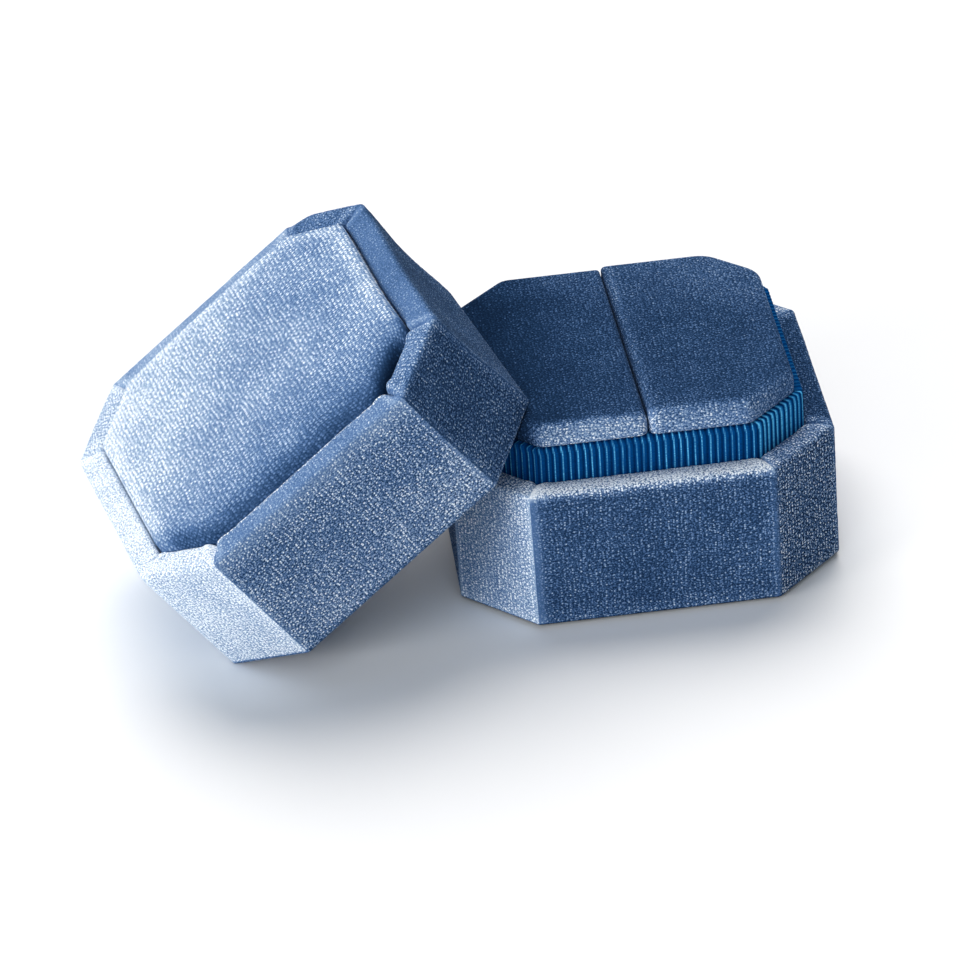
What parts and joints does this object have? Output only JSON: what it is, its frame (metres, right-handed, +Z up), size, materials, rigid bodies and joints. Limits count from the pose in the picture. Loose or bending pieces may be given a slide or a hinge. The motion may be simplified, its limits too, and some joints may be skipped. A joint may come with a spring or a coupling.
{
  "type": "octagonal velvet ring box with lift-off lid",
  "caption": "Octagonal velvet ring box: a low base with a ribboned collar and slotted ring cushion, and a loose lid with a padded top leaning beside it.",
  "frame": {"origin": "centre of the base's underside, on the table", "axes": "+Z up, the box's front at -Y, the lid leaning at -X; the ring slot runs along Y"},
  "size_m": [0.113, 0.0685, 0.0505],
  "materials": {
    "moulded_shell": "matte injection-moulded",
    "base_velvet": "dusty blue short-pile velvet",
    "lid_velvet": "dusty blue short-pile velvet",
    "panel_velvet": "dusty blue short-pile velvet, padded",
    "cushion_velvet": "deep blue short-pile velvet, padded",
    "lining_velvet": "deep blue velvet lining",
    "ribbon": "ribbed grosgrain, semi-gloss",
    "underside_card": "suede-finish paper over card",
    "collar_card": "grey-brown card",
    "foam": "open-cell foam"
  },
  "bodies": {
    "box_base": {"base_shell": "moulded_shell", "base_velvet_wrap": "base_velvet", "base_underside_board": "underside_card", "collar_wall": "collar_card", "collar_ribbon": "ribbon", "cushion_board": "collar_card", "left_cushion_foam": "foam", "left_cushion_velvet": "cushion_velvet", "right_cushion_foam": "foam", "right_cushion_velvet": "cushion_velvet"},
    "lid": {"lid_shell": "moulded_shell", "lid_velvet_wrap": "lid_velvet", "lid_lining_wall": "lining_velvet", "lid_panel_board": "collar_card", "lid_panel_wadding": "foam", "lid_panel_velvet": "panel_velvet", "lid_lining_board": "collar_card", "lid_lining_wadding": "foam", "lid_lining_velvet": "lining_velvet"}
  },
  "joints": [
    {"name": "lid_lift", "type": "slide", "parent": "box_base", "child": "lid", "axis": [0, 0, 1], "range_m": [0, 0.045]}
  ]
}
